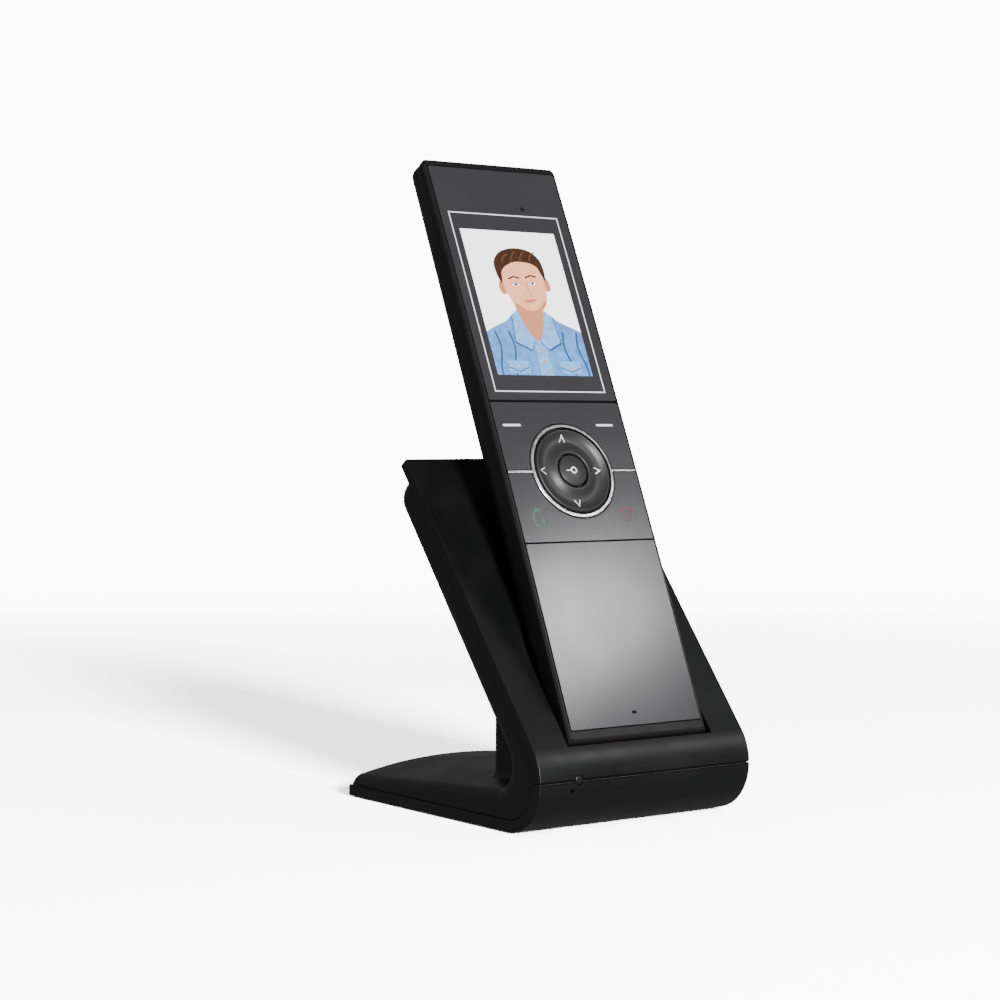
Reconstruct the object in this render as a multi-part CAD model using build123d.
from build123d import *
from math import cos, radians, sin
import os

# A cordless video handset standing in a leaning desk charging cradle.
# Millimetres, +Z up, the handset's face looks towards -Y, +X is on a user's right.
# The origin is on the table, midway between the nose and the back of the foot.
# The shapes are drawn with y from the nose, and moved to that origin as they are saved.
os.makedirs("parts", exist_ok=True)

# Cradle
WIDTH = 78.0            # over the nose and the rim of the foot
FOOT_DEPTH = 98.6       # nose to back edge of the rim
NOSE_R = 15.2           # the nose is one arc from the table to the sloping panel
PANEL_LEAN = 38.3       # panel's slope away from the vertical, degrees
PANEL_RISE = 102.3      # length of the panel's flat face above the nose arc
PANEL_T = 12.5          # front face to back face
LIP = 4.0               # front cover's overhang past the rear shell at the top
SKIRT = 3.4             # depth of the two front covers' side skirts
SEAM = 0.25             # visible gap between two covers
WALL = 2.0
REVEAL = 0.2            # the rear shell's sides stand in from the covers by this
FOOT_SET_BACK = 1.5     # the rear shell's end stands in from the rim
FOOT_CORNER_Z = 6.8     # height of the foot's shoulder at its back end
FOOT_CROWN_Z = 10.4     # height of its middle there
FOOT_PITCH = 0.064      # rise of the foot towards the nose, per unit of length
SHOULDER_R = 4.5        # rounding along the rear shell's long edges
TOP_R = 6.5             # rounding across the top of the rear shell
THROAT_R = 7.0          # fillet in the V between the panel and the foot
NECK_HW = 26.8
NECK_BACK = 39.8        # rear face of the neck, from the nose
FOOT_DISC_R = 4.0
FEET_PROUD = 0.4        # the rubber feet stand out of the underside by this

# Handset, in its own axes: x across, d backwards from its face, v upwards along it
HAND_LEAN = 23.45       # handset's slope away from the vertical, degrees
HAND_Y = 5.06           # where its glass starts, from the nose
HAND_Z = 28.72
HAND_HW = 25.4
HAND_TOP = 183.0
HAND_BOTTOM = -4.0
HAND_T = 10.5           # depth at the sides
HAND_CROWN = 1.0        # the back bulges by this in the middle
FACE_RISE = 0.92        # the face bulges by this, half-way up
GLASS_HW = 24.0
GLASS_TOP = 180.5
GLASS_T = 1.4
GAP = 0.35              # dark joint round the glass and the keys
RAIL_IN = GLASS_HW + GAP
FACE_SEAM_D = 2.2       # depth where the frame meets the rear shell
CASE_T = 1.3

# Face layout, all v
LOWER_PANEL_TOP = 56.1
LOWER_KEY_BOTTOM = 56.65
DIVIDER_V = 78.9
DIVIDER_T = 0.8
UPPER_KEY_TOP = 101.1
WINDOW_BOTTOM = 101.9
DISPLAY_HW = 21.0       # half-width of the display module
LCD_BOTTOM = 110.1
LCD_TOP = 159.1

# Navigation cluster
RING_R = 15.05
RING_T = 1.0
NAV_R = 13.3
NAV_HOLE_R = 5.5
DISH_R = 9.7            # where the navigation ring's dish is deepest
DISH_D = -0.1           # its bottom, from the flat the handset's front is built on
NAV_UNDER_D = 0.4        # the ring's underside rises outwards, to clear the key mat when it tips
NAV_EDGE_D = 0.2
OK_R = 4.95

# Well and charge contacts
WELL_HW = 26.7
WELL_CLEARANCE = 0.5
WELL_WALL = 1.5
PIN_X = 5.0
PIN_D = 5.2
PIN_R = 0.8
PAD_V = HAND_BOTTOM + 0.4

# Cradle fixings, power and indicator
SCREW_X = 31.0
SCREW_R = 1.1
HEAD_R = 2.2
HEAD_TOP = 1.6          # heads sit in counterbores up to here
BOSS_R = 2.8
BOSS_Z = 3.4            # where the rear shell's bosses start
SCREW_TOP = 6.6
FOOT_SEAT = 0.7         # depth of the feet's seats
BOARD_Z = 3.7
BOARD_T = 1.0
INLET_Z = BOARD_Z + BOARD_T + 1.7
INDICATOR_X = -25.1
INDICATOR_Z = NOSE_R + 0.3
INDICATOR_REST_Z = 3.3  # its board's rest starts inside the nose's skin
LENS_R = 1.35
RESET_X = -27.5
RESET_Z = 12.5
screw_places = [(x, y) for x in (-SCREW_X, SCREW_X) for y in (36, 76)]
foot_places = [(x, y) for x in (-29, 29) for y in (23, 89)]
board_posts = [(-17, 58), (17, 86)]

# Handset case
CASE_SIDE_R = 5.5
CASE_END_R = 2.8
CHIN_R = 1.9
RAIL_CHAMFER = 0.6
BAR_V = 180.85          # where the top bar starts
LEDGE_D = 3.0           # back of the front frame's ledge
KEY_T = 1.1
KEY_MAT_D = 1.1
BOARD_D = 4.7
DOOR_HW = 19.5
DOOR_V = (86, 152)
DOOR_SEAT = 9.0
BATTERY_HW = 17.0
BATTERY_V = (90, 148)
GRIP_LINES = (144, 145.5, 147)
handset_screw_places = [(-16, 30), (16, 30)]
dome_places = [(x, v) for x in (-17, 17) for v in (65, 94)]

TO_ORIGIN = Pos(0, -FOOT_DEPTH / 2, FEET_PROUD)
HAND_FRAME = Pos(0, HAND_Y, HAND_Z) * Rot(-HAND_LEAN, 0, 0)
PANEL_SIN = sin(radians(PANEL_LEAN))
PANEL_COS = cos(radians(PANEL_LEAN))


def save(name, shape):
    """Write one node, moved from the nose to the object's origin."""
    placed = TO_ORIGIN * shape
    placed.label = name
    export_step(placed, f"parts/{name}.step")


def save_hand(name, shape):
    """Write one node that was made in the handset's own axes."""
    save(name, HAND_FRAME * shape)


def box(x, y, z):
    """A box from three (low, high) pairs."""
    size = Box(x[1] - x[0], y[1] - y[0], z[1] - z[0])
    return Pos((x[0] + x[1]) / 2, (y[0] + y[1]) / 2, (z[0] + z[1]) / 2) * size


def rod(radius, start, end):
    """A cylinder between two points that differ along one axis only."""
    line = Edge.make_line(start, end)
    return extrude(Plane(start, z_dir=line % 0) * Circle(radius), line.length)


def on_panel(s, t):
    """(y, z) of the point s up the panel's face and t behind it."""
    y = NOSE_R * (1 - PANEL_COS) + s * PANEL_SIN + t * PANEL_COS
    z = NOSE_R * (1 + PANEL_SIN) + s * PANEL_COS - t * PANEL_SIN
    return y, z


def on_nose(angle, depth):
    """(y, z) on the nose, angle up from level, depth inside its surface."""
    r = NOSE_R - depth
    return NOSE_R - r * cos(radians(angle)), NOSE_R + r * sin(radians(angle))


def slab(points, half_width):
    """Extrude a side outline, whose items are points or (middle, end) arc pairs."""
    edges = []
    last = points[0]
    for item in points[1:]:
        if isinstance(item[0], tuple):
            edges.append(ThreePointArc(last, item[0], item[1]))
            last = item[1]
        else:
            edges.append(Line(last, item))
            last = item
    edges.append(Line(last, points[0]))
    return extrude(Plane.YZ * make_face(edges), half_width, both=True)


# ---- Cradle covers ----

def upper_slab(outer, inner, half_width, top, seam_z):
    """The sloping panel and the upper nose, between two depths."""
    start = (outer, seam_z)
    end = (inner, seam_z)
    lean = PANEL_LEAN
    return slab([
        start,
        (on_nose(lean / 2, outer), on_nose(lean, outer)),
        on_panel(top, outer),
        on_panel(top, inner),
        on_nose(lean, inner),
        (on_nose(lean / 2, inner), end),
    ], half_width)


def lower_slab(outer, inner, half_width, back, seam_z):
    """The lower nose, the flat underside and the rim's height, between two depths."""
    return slab([
        (outer, seam_z),
        (on_nose(-45, outer), (NOSE_R, outer)),
        (back, outer),
        (back, inner),
        (NOSE_R, inner),
        (on_nose(-45, inner), (inner, seam_z)),
    ], half_width)


def well_form(grow):
    """The handset's foot with room round it, and grow more for the well's walls."""
    depth = HAND_T + HAND_CROWN + WELL_CLEARANCE + grow
    half = WELL_HW + grow
    low = HAND_BOTTOM - 0.6 - grow
    block = box((-half, half), (-30, depth), (low, 75))
    edges = block.edges().filter_by(Axis.Z).sort_by(Axis.Y)[-2:]
    block = fillet(edges, 6.0 + grow)
    return HAND_FRAME * block


def is_outer(edge):
    """True for an edge that lies on the outside of the nose or of the panel's face."""
    p = edge @ 0.5
    nose = abs(((p.Y - NOSE_R) ** 2 + (p.Z - NOSE_R) ** 2) ** 0.5 - NOSE_R)
    y, z = on_panel(0, 0)
    face = abs((p.Y - y) * PANEL_COS - (p.Z - z) * PANEL_SIN)
    return min(nose, face) < 0.02


def side_edges(shape, half_width):
    """The longer edges that lie in the two side planes."""
    edges = shape.edges().filter_by(lambda e: abs(abs(e.center().X) - half_width) < 1e-3)
    return edges.filter_by(lambda e: e.length > 2)


half = WIDTH / 2
inner_half = half - WALL
nose_groove = rod(0.55, (-half - 1, 0, NOSE_R), (half + 1, 0, NOSE_R))
panel_room = upper_slab(0.5, PANEL_T - WALL, inner_half - 0.6, PANEL_RISE - LIP - 2.5, NOSE_R)
neck_room = box((-NECK_HW - 3, NECK_HW + 3), (6, 30), (10, 45))
indicator_bore = rod(LENS_R + 0.1, (INDICATOR_X, -1, INDICATOR_Z), (INDICATOR_X, 8, INDICATOR_Z))


def make_front_cover():
    cover = upper_slab(0, SKIRT, half, PANEL_RISE, NOSE_R + 0.1)
    cover -= upper_slab(WALL, SKIRT + 1, inner_half, PANEL_RISE - LIP, NOSE_R)
    well = well_form(WELL_WALL) & (panel_room + neck_room)
    cover += well & upper_slab(0.5, 60, half - 3, 90, NOSE_R - 10)
    cover -= well_form(0)
    cover -= contact_slot(0)
    cover -= indicator_bore
    cover = fillet(side_edges(cover, half).filter_by(is_outer), 0.4)
    return cover - nose_groove


def contact_slot(grow):
    """The contact block's seat through the floor of the well."""
    half_x = PIN_X + 4 + grow
    d = (PIN_D - 2.6 - grow, PIN_D + 2.6 + grow)
    low = HAND_BOTTOM - 0.6 - WELL_WALL - 1
    return HAND_FRAME * box((-half_x, half_x), d, (low, HAND_BOTTOM))


def foot_shoulder(y):
    """Height of the foot's shoulder line at y."""
    return FOOT_CORNER_Z + FOOT_PITCH * (FOOT_DEPTH - FOOT_SET_BACK - y)


def shell_form(inset):
    """The rear shell's outside, or its inside when inset by the wall."""
    throat_r = THROAT_R + inset
    t = PANEL_T - inset
    edge = SKIRT + SEAM if inset == 0 else SKIRT - 1
    top = PANEL_RISE - LIP - inset
    back = FOOT_DEPTH - FOOT_SET_BACK - inset
    width = half - REVEAL - inset
    # Throat fillet: tangent to the panel's back and to the foot's shoulder line.
    reach = throat_r * 1.908
    lift = foot_shoulder(0) - inset
    y0, z0 = on_panel(0, t)
    lean = PANEL_SIN / PANEL_COS
    apex_z = (lift - FOOT_PITCH * (y0 - lean * z0)) / (1 + FOOT_PITCH * lean)
    apex = (y0 + lean * (apex_z - z0), apex_z)
    upper = (apex[0] + reach * PANEL_SIN, apex[1] + reach * PANEL_COS)
    lower = (apex[0] + reach, apex[1] - FOOT_PITCH * reach)
    middle = (apex[0] + 1.155 * throat_r * 0.914, apex[1] + 1.155 * throat_r * 0.405)
    form = slab([
        on_panel(top, edge),
        on_nose(PANEL_LEAN, edge),
        (on_nose(PANEL_LEAN / 2, edge), (edge, NOSE_R)),
        (edge, -8),
        (back, -8),
        (back, foot_shoulder(back) - inset),
        lower,
        (middle, upper),
        on_panel(top, t),
    ], width)
    form = fillet(form.edges().filter_by(lambda e: is_top_back(e, top, t)), TOP_R - inset)
    rear = side_edges(form, width).filter_by(lambda e: is_behind(e, back))
    form = fillet(rear, SHOULDER_R - inset)
    covered = slab([
        on_panel(top + 9, edge),
        on_nose(PANEL_LEAN, edge),
        (on_nose(-25, edge), (NOSE_R, edge)),
        (back + 9, edge),
        (back + 9, on_panel(top + 9, edge)[1]),
    ], width + 1)
    return form & covered


def is_behind(edge, back):
    """True for a side edge on the panel's back, in the throat or along the foot."""
    p = edge @ 0.5
    y, z = on_panel(0, PANEL_T - 8)
    behind_face = (p.Y - y) * PANEL_COS - (p.Z - z) * PANEL_SIN > 0
    along_top = p.Z > foot_shoulder(p.Y) - 1
    return behind_face and along_top and p.Y < back - 0.1 and p.Y > NOSE_R - 3


def is_top_back(edge, top, t):
    """True for the edge across the panel's top at its back."""
    y, z = on_panel(top, t)
    p = edge @ 0.5
    return abs(p.Y - y) < 0.1 and abs(p.Z - z) < 0.1


def crown_form(inset):
    """The arched middle of the foot, extruded up towards the nose."""
    y = FOOT_DEPTH - FOOT_SET_BACK - inset
    base = FOOT_CORNER_Z - inset
    rise = FOOT_CROWN_Z - FOOT_CORNER_Z
    reach = half - REVEAL - 4.3
    arch = [
        Spline((-reach, base), (0, base + rise), (reach, base), tangents=[(1, 0.22), (1, -0.22)]),
        Line((reach, base), (reach, base - 2)),
        Line((reach, base - 2), (-reach, base - 2)),
        Line((-reach, base - 2), (-reach, base)),
    ]
    face = Plane((0, y, 0), x_dir=(1, 0, 0), z_dir=(0, -1, 0)) * make_face(arch)
    return extrude(face, y - 18, dir=(0, -1, FOOT_PITCH))


def neck_form(inset):
    """The block that carries the panel on the foot."""
    width = NECK_HW - inset
    block = box((-width, width), (16, NECK_BACK - inset), (6, 55))
    edges = block.edges().filter_by(Axis.Z).sort_by(Axis.Y)[-2:]
    block = fillet(edges, 3.0)
    y, z = on_panel(0, PANEL_T - 1 - inset)
    y2, z2 = on_panel(60, PANEL_T - 1 - inset)
    behind = slab([(y, z), (y2, z2), (y2, 0), (y, 0)], width + 1)
    return block & behind


def make_rear_shell():
    outside = shell_form(0) + crown_form(0) + neck_form(0)
    outside = fillet(outside.edges().filter_by(is_neck_foot), 2.5)
    shell = outside - shell_form(WALL) - crown_form(WALL) - neck_form(WALL)
    for x, y in screw_places:
        boss = rod(BOSS_R, (x, y, BOSS_Z), (x, y, foot_shoulder(y) - 0.5))
        shell += boss
        shell -= rod(SCREW_R + 0.05, (x, y, BOSS_Z - 1), (x, y, SCREW_TOP))
    shell -= inlet_form(0.15)
    return shell - well_form(WELL_WALL + 0.15)


def is_neck_foot(edge):
    """True for an edge round the neck's foot, where it meets the arched foot."""
    p = edge @ 0.5
    low = p.Z < foot_shoulder(p.Y) + 4.5
    near = abs(p.X) < NECK_HW + 0.1 and 24 < p.Y < NECK_BACK + 0.1
    on_side = abs(abs(p.X) - NECK_HW) < 0.02 or abs(p.Y - NECK_BACK) < 0.02
    corner = abs(p.X) > NECK_HW - 3.1 and p.Y > NECK_BACK - 3.1
    return low and near and (on_side or corner) and edge.tangent_at(0.5).Z ** 2 < 0.3


def make_bottom_cover():
    cover = lower_slab(0, SKIRT, half, FOOT_DEPTH, NOSE_R - 0.1)
    cover -= lower_slab(WALL, SKIRT + 1, inner_half, FOOT_DEPTH - WALL, NOSE_R)
    cover = fillet(side_edges(cover, half).filter_by(is_outer), 0.4)
    for x, y in screw_places:
        cover += rod(BOSS_R + 1, (x, y, WALL - 0.5), (x, y, BOSS_Z - 0.1))
        cover -= rod(HEAD_R + 0.2, (x, y, -1), (x, y, HEAD_TOP))
        cover -= rod(SCREW_R + 0.2, (x, y, 0), (x, y, BOSS_Z + 1))
    for x, y in foot_places:
        cover -= rod(FOOT_DISC_R + 0.1, (x, y, -1), (x, y, FOOT_SEAT))
    for x, y in board_posts:
        cover += rod(2.4, (x, y, WALL - 0.5), (x, y, BOARD_Z))
        cover -= rod(0.95, (x, y, WALL + 0.3), (x, y, BOARD_Z + 1))
    cover += box((INDICATOR_X - 4, INDICATOR_X + 4), (7.2, 9.8), (INDICATOR_REST_Z, 9))
    cover -= indicator_bore
    cover -= rod(0.55, (RESET_X, -1, RESET_Z), (RESET_X, 4, RESET_Z))
    return cover - nose_groove


def inlet_form(grow):
    """The power inlet's metal mouth, a rounded slot through the back of the foot."""
    y = FOOT_DEPTH - FOOT_SET_BACK
    size = (9.0 + 2 * grow, 3.2 + 2 * grow)
    face = Plane((0, y - 8.0, INLET_Z), x_dir=(1, 0, 0), z_dir=(0, 1, 0))
    return extrude(face * RectangleRounded(size[0], size[1], size[1] / 2 - 0.01), 8.0)


def make_power_inlet():
    mouth = inlet_form(0)
    y = FOOT_DEPTH - FOOT_SET_BACK
    face = Plane((0, y - 7.0, INLET_Z), x_dir=(1, 0, 0), z_dir=(0, 1, 0))
    hollow = extrude(face * RectangleRounded(8.4, 2.6, 1.29), 8.0)
    tongue = box((-3.2, 3.2), (y - 7.5, y - 1.2), (INLET_Z - 0.3, INLET_Z + 0.3))
    return mouth - hollow + tongue


def make_cradle_board():
    y = FOOT_DEPTH - FOOT_SET_BACK - WALL - 0.4
    board = box((-22, 22), (52, y), (BOARD_Z, BOARD_Z + BOARD_T))
    chip = box((-5, 5), (60, 70), (BOARD_Z + BOARD_T, BOARD_Z + BOARD_T + 1.2))
    coil = rod(3.5, (12, 66, BOARD_Z + BOARD_T), (12, 66, BOARD_Z + BOARD_T + 2.4))
    for x, y in board_posts:
        board -= rod(1.15, (x, y, 0), (x, y, 20))
    return board + chip + coil


def make_screws(places, head_r, shank_r, head, top):
    """Screws that go in from below, each a separate solid."""
    screws = []
    for x, y in places:
        screw = rod(head_r, (x, y, head[0]), (x, y, head[1]))
        screw += rod(shank_r, (x, y, head[1]), (x, y, top))
        reach = head_r * 0.7
        recess = (head[0] - 1, head[0] + 0.5)
        slot = box((x - reach, x + reach), (y - 0.25, y + 0.25), recess)
        cross = box((x - 0.25, x + 0.25), (y - reach, y + reach), recess)
        screws.append(screw - slot - cross)
    return Compound(screws)


def make_board_screws():
    """Two pan-head screws that hold the cradle's board on its posts."""
    screws = []
    top = BOARD_Z + BOARD_T
    for x, y in board_posts:
        screw = rod(1.8, (x, y, top), (x, y, top + 1.1)) + rod(0.9, (x, y, WALL + 0.5), (x, y, top))
        screws.append(screw - box((x - 1.2, x + 1.2), (y - 0.25, y + 0.25), (top + 0.6, top + 2)))
    return Compound(screws)


def make_indicator_lens():
    """A domed light pipe with a collar behind the nose's skin."""
    z = INDICATOR_Z
    lens = rod(LENS_R, (INDICATOR_X, 0, z), (INDICATOR_X, 5.9, z))
    edge = lens.edges().filter_by(GeomType.CIRCLE).sort_by(Axis.Y)[0]
    return fillet(edge, 0.45) + rod(2.2, (INDICATOR_X, 2.4, z), (INDICATOR_X, 3.4, z))


def make_indicator_board():
    board = box((INDICATOR_X - 8, INDICATOR_X + 8), (8, 9), (9, 18.6))
    z = INDICATOR_Z
    led = box((INDICATOR_X - 1.0, INDICATOR_X + 1.0), (6.3, 8), (z - 0.8, z + 0.8))
    return board + led


# ---- Charge contacts, in the handset's axes ----

def make_contact_block():
    low = HAND_BOTTOM - 6.6
    block = box((-10.5, 10.5), (PIN_D - 3.2, PIN_D + 3.6), (HAND_BOTTOM - 3.9, HAND_BOTTOM - 2.2))
    block += box((-8.9, 8.9), (PIN_D - 2.5, PIN_D + 2.5), (low, HAND_BOTTOM - 0.7))
    for x in (-PIN_X, PIN_X):
        block -= rod(PIN_R + 0.06, (x, PIN_D, low - 1), (x, PIN_D, HAND_BOTTOM))
        block -= rod(1.3, (x, PIN_D, low - 1), (x, PIN_D, HAND_BOTTOM - 2.0))
    return block


def make_charge_pin(x):
    pin = rod(PIN_R, (x, PIN_D, HAND_BOTTOM - 3.4), (x, PIN_D, PAD_V - 0.1))
    tip = pin.edges().filter_by(GeomType.CIRCLE).sort_by(Axis.Z)[-1]
    return fillet(tip, 0.5) + rod(1.2, (x, PIN_D, HAND_BOTTOM - 3.6), (x, PIN_D, HAND_BOTTOM - 2.9))


def make_charge_spring(x):
    low = HAND_BOTTOM - 6.4
    high = HAND_BOTTOM - 3.75
    coil = Helix(0.62, high - low, 0.85)
    wire = sweep(Plane(coil @ 0, z_dir=coil % 0) * Circle(0.12), coil)
    return Pos(x, PIN_D, low) * wire


def make_contact_board():
    high = HAND_BOTTOM - 6.65
    return box((-8.9, 8.9), (PIN_D - 2.5, PIN_D + 2.5), (high - 0.8, high))


# ---- Handset, in its own axes ----

def face_rise(v):
    """How far the face stands in front of its end-to-end chord at v."""
    middle = GLASS_TOP / 2
    return FACE_RISE * (1 - ((v - middle) / middle) ** 2)


def layer(x, v, front, back, flat_back=False):
    """A plate under the bulged face, between two depths measured from it."""
    low, high = v
    middle = (low + high) / 2
    base = face_rise(low), face_rise(middle), face_rise(high)
    front_points = [(front - base[0], low), (front - base[1], middle), (front - base[2], high)]
    outline = [ThreePointArc(*front_points)]
    if flat_back:
        outline.append(Line((front - base[2], high), (back, high)))
        outline.append(Line((back, high), (back, low)))
        outline.append(Line((back, low), (front - base[0], low)))
    else:
        outline.append(Line((front - base[2], high), (back - base[2], high)))
        back_points = [(back - base[2], high), (back - base[1], middle), (back - base[0], low)]
        outline.append(ThreePointArc(*back_points))
        outline.append(Line((back - base[0], low), (front - base[0], low)))
    face = Plane.YZ.offset(x[0]) * make_face(outline)
    return extrude(face, x[1] - x[0])


def case_form(inset):
    """The handset case's outside, or its inside when inset by the wall."""
    hw = HAND_HW - inset
    t = HAND_T - inset
    corners = [(-hw, 0), (-hw, t), (hw, t), (hw, 0)]
    section = [
        Line(corners[0], corners[1]),
        ThreePointArc(corners[1], (0, t + HAND_CROWN), corners[2]),
        Line(corners[2], corners[3]),
        Line(corners[3], corners[0]),
    ]
    low = HAND_BOTTOM + inset
    high = HAND_TOP - inset
    form = extrude(Plane.XY.offset(low) * make_face(section), high - low)
    form = fillet(form.edges().filter_by(Axis.Z).sort_by(Axis.Y)[-2:], CASE_SIDE_R - inset)
    ends = form.edges().filter_by(lambda e: abs((e @ 0.5).Y) > 0.1 and is_end(e, low, high))
    return fillet(ends, CASE_END_R - inset)


def is_end(edge, low, high):
    """True for an edge that lies in either end face of the handset."""
    z = (edge @ 0.5).Z, (edge @ 0).Z
    return any(abs(z[0] - end) < 1e-3 and abs(z[1] - end) < 1e-3 for end in (low, high))


def make_handset_shell():
    shell = case_form(0) - case_form(CASE_T)
    shell = shell & box((-40, 40), (FACE_SEAM_D + 0.12, 40), (-20, 200))
    pocket = box((-DOOR_HW - 1.5, DOOR_HW + 1.5), (7.9, 9.6), (DOOR_V[0] - 1.5, DOOR_V[1] + 1.5))
    room_x = BATTERY_HW + 0.5
    shell += pocket - box((-room_x, room_x), (0, 20), (BATTERY_V[0] - 0.5, BATTERY_V[1] + 0.5))
    shell -= rounded_door(0.12)
    for x, v in handset_screw_places:
        shell += rod(3.2, (x, 6.4, v), (x, HAND_T - 0.5, v)) & case_form(0.3)
        shell -= rod(2.2, (x, 8.2, v), (x, 20, v))
        shell -= rod(1.1, (x, 5, v), (x, 20, v))
    for x in (-PIN_X, PIN_X):
        shell -= box((x - 2.1, x + 2.1), (PIN_D - 1.7, PIN_D + 1.7), (-10, HAND_BOTTOM + 1.8))
    for step in range(5):
        x = (step - 2) * 3.2
        slot = box((x - 0.6, x + 0.6), (6, 20), (164, 171))
        shell -= fillet(slot.edges().filter_by(Axis.Y), 0.55)
    return shell


def rounded_door(grow):
    """The battery door's outline through the back of the case."""
    half_x = DOOR_HW + grow
    block = box((-half_x, half_x), (DOOR_SEAT - grow, 30), (DOOR_V[0] - grow, DOOR_V[1] + grow))
    return fillet(block.edges().filter_by(Axis.Y), 2.5 + grow)


def make_battery_door():
    door = case_form(0) & rounded_door(0)
    rim_x = DOOR_HW - 1.5
    hollow = box((-rim_x, rim_x), (0, 30), (DOOR_V[0] + 1.5, DOOR_V[1] - 1.5))
    door -= case_form(CASE_T + 0.3) & hollow
    groove_d = (HAND_T + HAND_CROWN - 0.25, 30)
    grip = Compound([box((-6, 6), groove_d, (v - 0.25, v + 0.25)) for v in GRIP_LINES])
    return door - grip


def make_side_rail(side):
    rail = layer((RAIL_IN, HAND_HW), (HAND_BOTTOM, BAR_V), 0.2, FACE_SEAM_D, flat_back=True)
    outer = rail.edges().filter_by(lambda e: abs((e @ 0.5).X - HAND_HW) < 1e-3 and (e @ 0.5).Y < 0.3)
    rail = chamfer(outer.sort_by(SortBy.LENGTH)[-1:], RAIL_CHAMFER)
    rail -= chin_nose()
    return rail if side > 0 else mirror(rail, Plane.YZ)


def chin_nose():
    """What is cut away to round the handset's lower front edge."""
    r = CHIN_R
    y = 0.2 + 0.05
    corner = box((-30, 30), (y - 2, y + r), (HAND_BOTTOM - 2, HAND_BOTTOM + r))
    return corner - rod(r, (-31, y + r, HAND_BOTTOM + r), (31, y + r, HAND_BOTTOM + r))


def make_front_frame():
    ledge_x = HAND_HW - CASE_T - 0.1
    frame = layer((-ledge_x, ledge_x), (HAND_BOTTOM + 1.5, BAR_V), GLASS_T + 0.1, LEDGE_D, True)
    bar = layer((-HAND_HW, HAND_HW), (BAR_V + 0.02, HAND_TOP), 0.2, FACE_SEAM_D, True)
    bar = fillet(bar.edges().filter_by(Axis.Y).sort_by(Axis.Z)[-2:], 1.9)
    front_face = bar.faces().sort_by(Axis.Y)[0]
    rim = front_face.edges().filter_by(lambda e: (e @ 0.5).Z > BAR_V + 0.3)
    bar = chamfer(rim, RAIL_CHAMFER)
    joint = box((-RAIL_IN + 1, RAIL_IN - 1), (FACE_SEAM_D - 0.7, LEDGE_D), (BAR_V - 1, HAND_TOP - 1.6))
    frame += bar + joint
    frame -= box((-21.6, 21.6), (-5, 10), (103.8, 165.2))
    frame -= box((-22.6, 22.6), (-5, 10), (58.5, 100.4))
    frame -= mic_slot(0.2)
    frame -= box((-6, 6), (-5, 10), (171, 172.4))
    for x, v in handset_screw_places:
        frame += rod(2.2, (x, LEDGE_D - 0.5, v), (x, 6.3, v))
        frame -= rod(0.95, (x, LEDGE_D, v), (x, 7, v))
    return frame


def mic_slot(grow):
    """The microphone's small rounded hole."""
    slot = box((-0.85 - grow, 0.85 + grow), (-5, 2.9), (3.3 - grow, 4.2 + grow))
    return fillet(slot.edges().filter_by(Axis.Y), 0.4)


def make_chin_bar():
    half_x = RAIL_IN - 0.12
    bar = layer((-half_x, half_x), (HAND_BOTTOM, -GAP), 0.25, FACE_SEAM_D, True)
    bar -= box((-30, 30), (GLASS_T - 0.1, 5), (HAND_BOTTOM + 1.4, 5))
    return bar - chin_nose()


def ring_disc(radius, front=-5, back=10):
    """A cylinder square to the face at the middle of the navigation cluster."""
    return rod(radius, (0, front, DIVIDER_V), (0, back, DIVIDER_V))


def make_key_plate(low, high):
    plate = layer((-GLASS_HW, GLASS_HW), (low, high), 0, KEY_T)
    plate = fillet(plate.edges().filter_by(Axis.Y), 0.4)
    return plate - ring_disc(RING_R + GAP)


def make_trim_ring():
    ring = ring_disc(RING_R, -1.15, LEDGE_D - 2.1)
    front_edges = ring.edges().filter_by(GeomType.CIRCLE).sort_by(Axis.Y)[0]
    ring = fillet(front_edges, 0.3)
    bar_x = GLASS_HW - 0.1
    bar_v = (DIVIDER_V - DIVIDER_T / 2, DIVIDER_V + DIVIDER_T / 2)
    bars = box((-bar_x, bar_x), (-0.98, 0.5), bar_v)
    bars = fillet(bars.edges().filter_by(Axis.X).sort_by(Axis.Y)[:2], 0.15)
    return ring + bars - ring_disc(RING_R - RING_T)


def make_nav_ring():
    """A rocking ring with a proud rim, a deep dish for the thumb and a lip round its hole."""
    rim = (NAV_R - 0.7, -1.6)
    lip = (NAV_HOLE_R + 0.5, -1.4)
    outline = [
        Line((NAV_HOLE_R, -0.35), (NAV_HOLE_R + 2.1, -0.35)),
        Line((NAV_HOLE_R + 2.1, -0.35), (NAV_HOLE_R + 3.3, NAV_UNDER_D)),
        Line((NAV_HOLE_R + 3.3, NAV_UNDER_D), (NAV_R, NAV_EDGE_D)),
        Line((NAV_R, NAV_EDGE_D), (NAV_R, -1.05)),
        ThreePointArc((NAV_R, -1.05), (NAV_R - 0.2, -1.45), rim),
        Spline(rim, (DISH_R, DISH_D), lip, tangents=[(-1, 0.12), (-1, -0.22)]),
        ThreePointArc(lip, (NAV_HOLE_R + 0.12, -1.36), (NAV_HOLE_R, -1.1)),
        Line((NAV_HOLE_R, -1.1), (NAV_HOLE_R, -0.35)),
    ]
    ring = revolve(Plane.XY * make_face(outline), Axis.Y)
    return Pos(0, 0, DIVIDER_V) * ring


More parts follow.
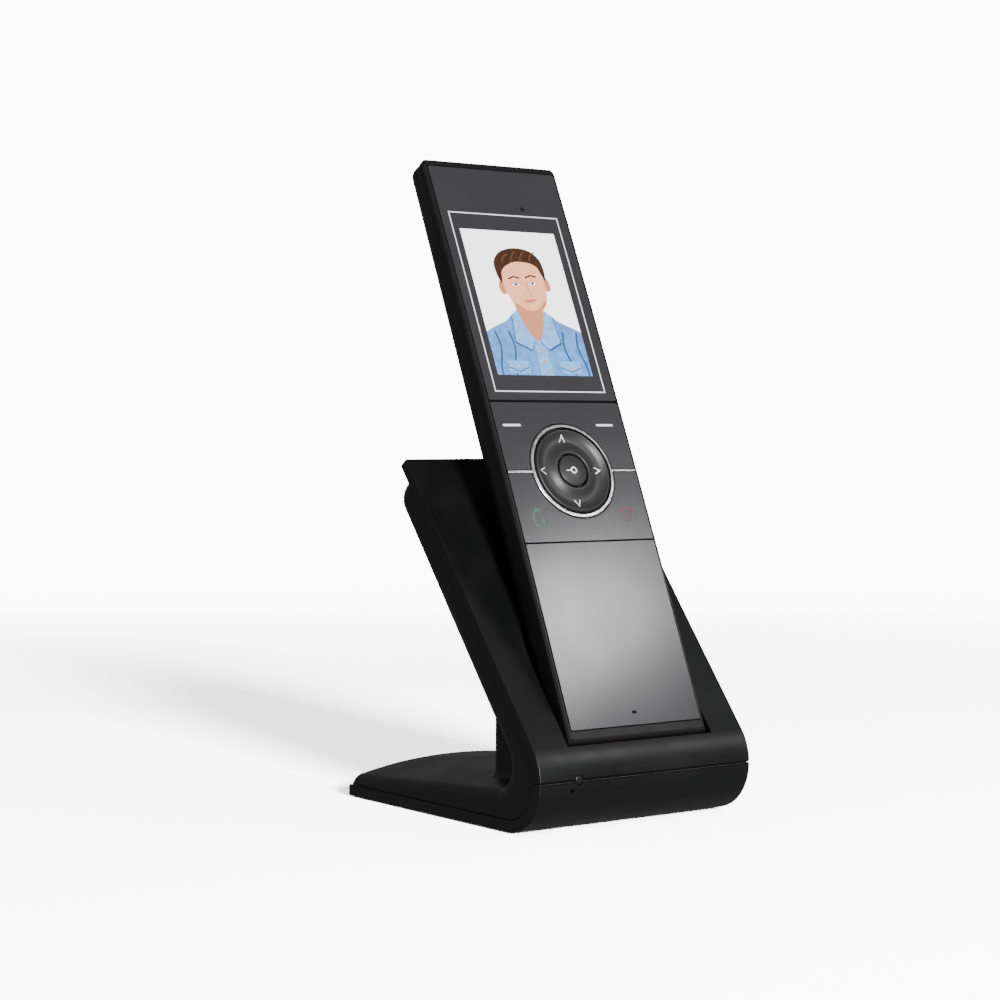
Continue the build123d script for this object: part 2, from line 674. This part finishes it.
def make_ok_button():
    reach = OK_R - 0.5
    rise = 0.62
    dome_r = (reach ** 2 + rise ** 2) / (2 * rise)
    middle = (reach / 2, -2.0 + dome_r - (dome_r ** 2 - reach ** 2 / 4) ** 0.5)
    outline = [
        Line((0, 0.4), (1.8, 0.4)),
        Line((1.8, 0.4), (1.8, -0.3)),
        Line((1.8, -0.3), (OK_R, -0.3)),
        Line((OK_R, -0.3), (OK_R, -0.9)),
        ThreePointArc((OK_R, -0.9), (OK_R - 0.14, -1.22), (OK_R - 0.5, -1.38)),
        ThreePointArc((OK_R - 0.5, -1.38), middle, (0, -2.0)),
        Line((0, -2.0), (0, 0.4)),
    ]
    button = revolve(Plane.XY * make_face(outline), Axis.Y)
    return Pos(0, 0, DIVIDER_V) * button


def make_nav_carrier():
    """A ring under the navigation ring, which tips one way while the ring tips the other."""
    return ring_disc(NAV_HOLE_R + 1.9, 0.0, 0.5) - ring_disc(NAV_HOLE_R + 0.5)


def make_key_mat():
    mat = box((-22.4, 22.4), (KEY_MAT_D, KEY_MAT_D + 0.9), (58.8, 100.1))
    for x, v in dome_places:
        mat += rod(2.0, (x, KEY_MAT_D - 0.45, v), (x, KEY_MAT_D, v))
    dots = [(0, 0), (10.5, 0), (-10.5, 0), (0, 10.5), (0, -10.5)]
    posts = [(x, DIVIDER_V + v) for x, v in dots] + dome_places
    for x, v in posts:
        mat += rod(1.5, (x, KEY_MAT_D + 0.8, v), (x, BOARD_D - 0.05, v))
    return mat


def make_glass(v):
    plate = layer((-GLASS_HW, GLASS_HW), v, 0, GLASS_T)
    return fillet(plate.edges().filter_by(Axis.Y), 0.4)


def make_handset_board():
    board = box((-23.2, 23.2), (BOARD_D, BOARD_D + 1.0), (3, 163))
    for x, v in handset_screw_places:
        board -= rod(2.5, (x, 0, v), (x, 20, v))
    board += box((-7, 7), (BOARD_D + 1, BOARD_D + 2.2), (56, 70))
    board += box((-18, 2), (BOARD_D + 1, BOARD_D + 2.6), (36, 52))
    return board


def make_handset_screws():
    screws = []
    for x, v in handset_screw_places:
        screw = rod(1.9, (x, 8.3, v), (x, 9.4, v)) + rod(0.9, (x, 3.6, v), (x, 8.3, v))
        screws.append(screw - box((x - 1.3, x + 1.3), (8.9, 10), (v - 0.25, v + 0.25)))
    return Compound(screws)


save("front_cover", make_front_cover())
save("rear_shell", make_rear_shell())
save("bottom_cover", make_bottom_cover())
save("cradle_board", make_cradle_board())
save("power_inlet", make_power_inlet())
save("ballast_plate", box((-25, 25), (16, 47), (WALL + 0.1, WALL + 3.6)))
feet = [rod(FOOT_DISC_R, (x, y, -FEET_PROUD), (x, y, FOOT_SEAT)) for x, y in foot_places]
save("rubber_feet", Compound(feet))
save("cradle_screws", make_screws(screw_places, HEAD_R, SCREW_R, (0.3, HEAD_TOP), SCREW_TOP - 0.2))
save("board_screws", make_board_screws())
save("indicator_lens", make_indicator_lens())
save("indicator_board", make_indicator_board())

save_hand("contact_block", make_contact_block())
save_hand("contact_board", make_contact_board())
for side, x in (("left", -PIN_X), ("right", PIN_X)):
    save_hand(f"charge_pin_{side}", make_charge_pin(x))
    save_hand(f"charge_spring_{side}", make_charge_spring(x))

save_hand("handset_rear_shell", make_handset_shell())
save_hand("battery_door", make_battery_door())
save_hand("battery_cell", box((-BATTERY_HW, BATTERY_HW), (5.9, 9.2), BATTERY_V))
save_hand("front_frame", make_front_frame())
save_hand("side_rail_left", make_side_rail(-1))
save_hand("side_rail_right", make_side_rail(1))
save_hand("chin_bar", make_chin_bar())
save_hand("display_window", make_glass((WINDOW_BOTTOM, GLASS_TOP)))
save_hand("lower_panel", make_glass((0, LOWER_PANEL_TOP)) - mic_slot(0))
save_hand("upper_key_plate", make_key_plate(DIVIDER_V + DIVIDER_T / 2 + 0.15, UPPER_KEY_TOP))
save_hand("lower_key_plate", make_key_plate(LOWER_KEY_BOTTOM, DIVIDER_V - DIVIDER_T / 2 - 0.15))
save_hand("trim_ring", make_trim_ring())
save_hand("nav_ring", make_nav_ring())
save_hand("nav_carrier", make_nav_carrier())
save_hand("ok_button", make_ok_button())
save_hand("key_mat", make_key_mat())
lcd_v = (LCD_BOTTOM - 5.5, LCD_TOP + 5.0)
save_hand("display_module", box((-DISPLAY_HW, DISPLAY_HW), (1.3, 3.3), lcd_v))
tray = box((-21.4, 21.4), (2.0, 4.3), (lcd_v[0] - 0.5, lcd_v[1] + 0.5))
save_hand("display_frame", tray - box((-21.1, 21.1), (0, 3.4), (lcd_v[0] - 0.1, lcd_v[1] + 0.1)))
save_hand("handset_board", make_handset_board())
save_hand("earpiece_speaker", rod(5.2, (0, LEDGE_D + 0.1, 172.5), (0, 6.2, 172.5)))
save_hand("microphone", rod(2.0, (0, LEDGE_D + 0.05, 5.8), (0, 4.5, 5.8)))
save_hand("antenna", box((-22, -9), (4.2, 4.8), (167, 178)))
pad_d = (PIN_D - 1.5, PIN_D + 1.5)
pad_v = (PAD_V, HAND_BOTTOM + 1.7)
pads = [box((x - 1.9, x + 1.9), pad_d, pad_v) for x in (-PIN_X, PIN_X)]
save_hand("charge_pads", Compound(pads))
save_hand("handset_screws", make_handset_screws())
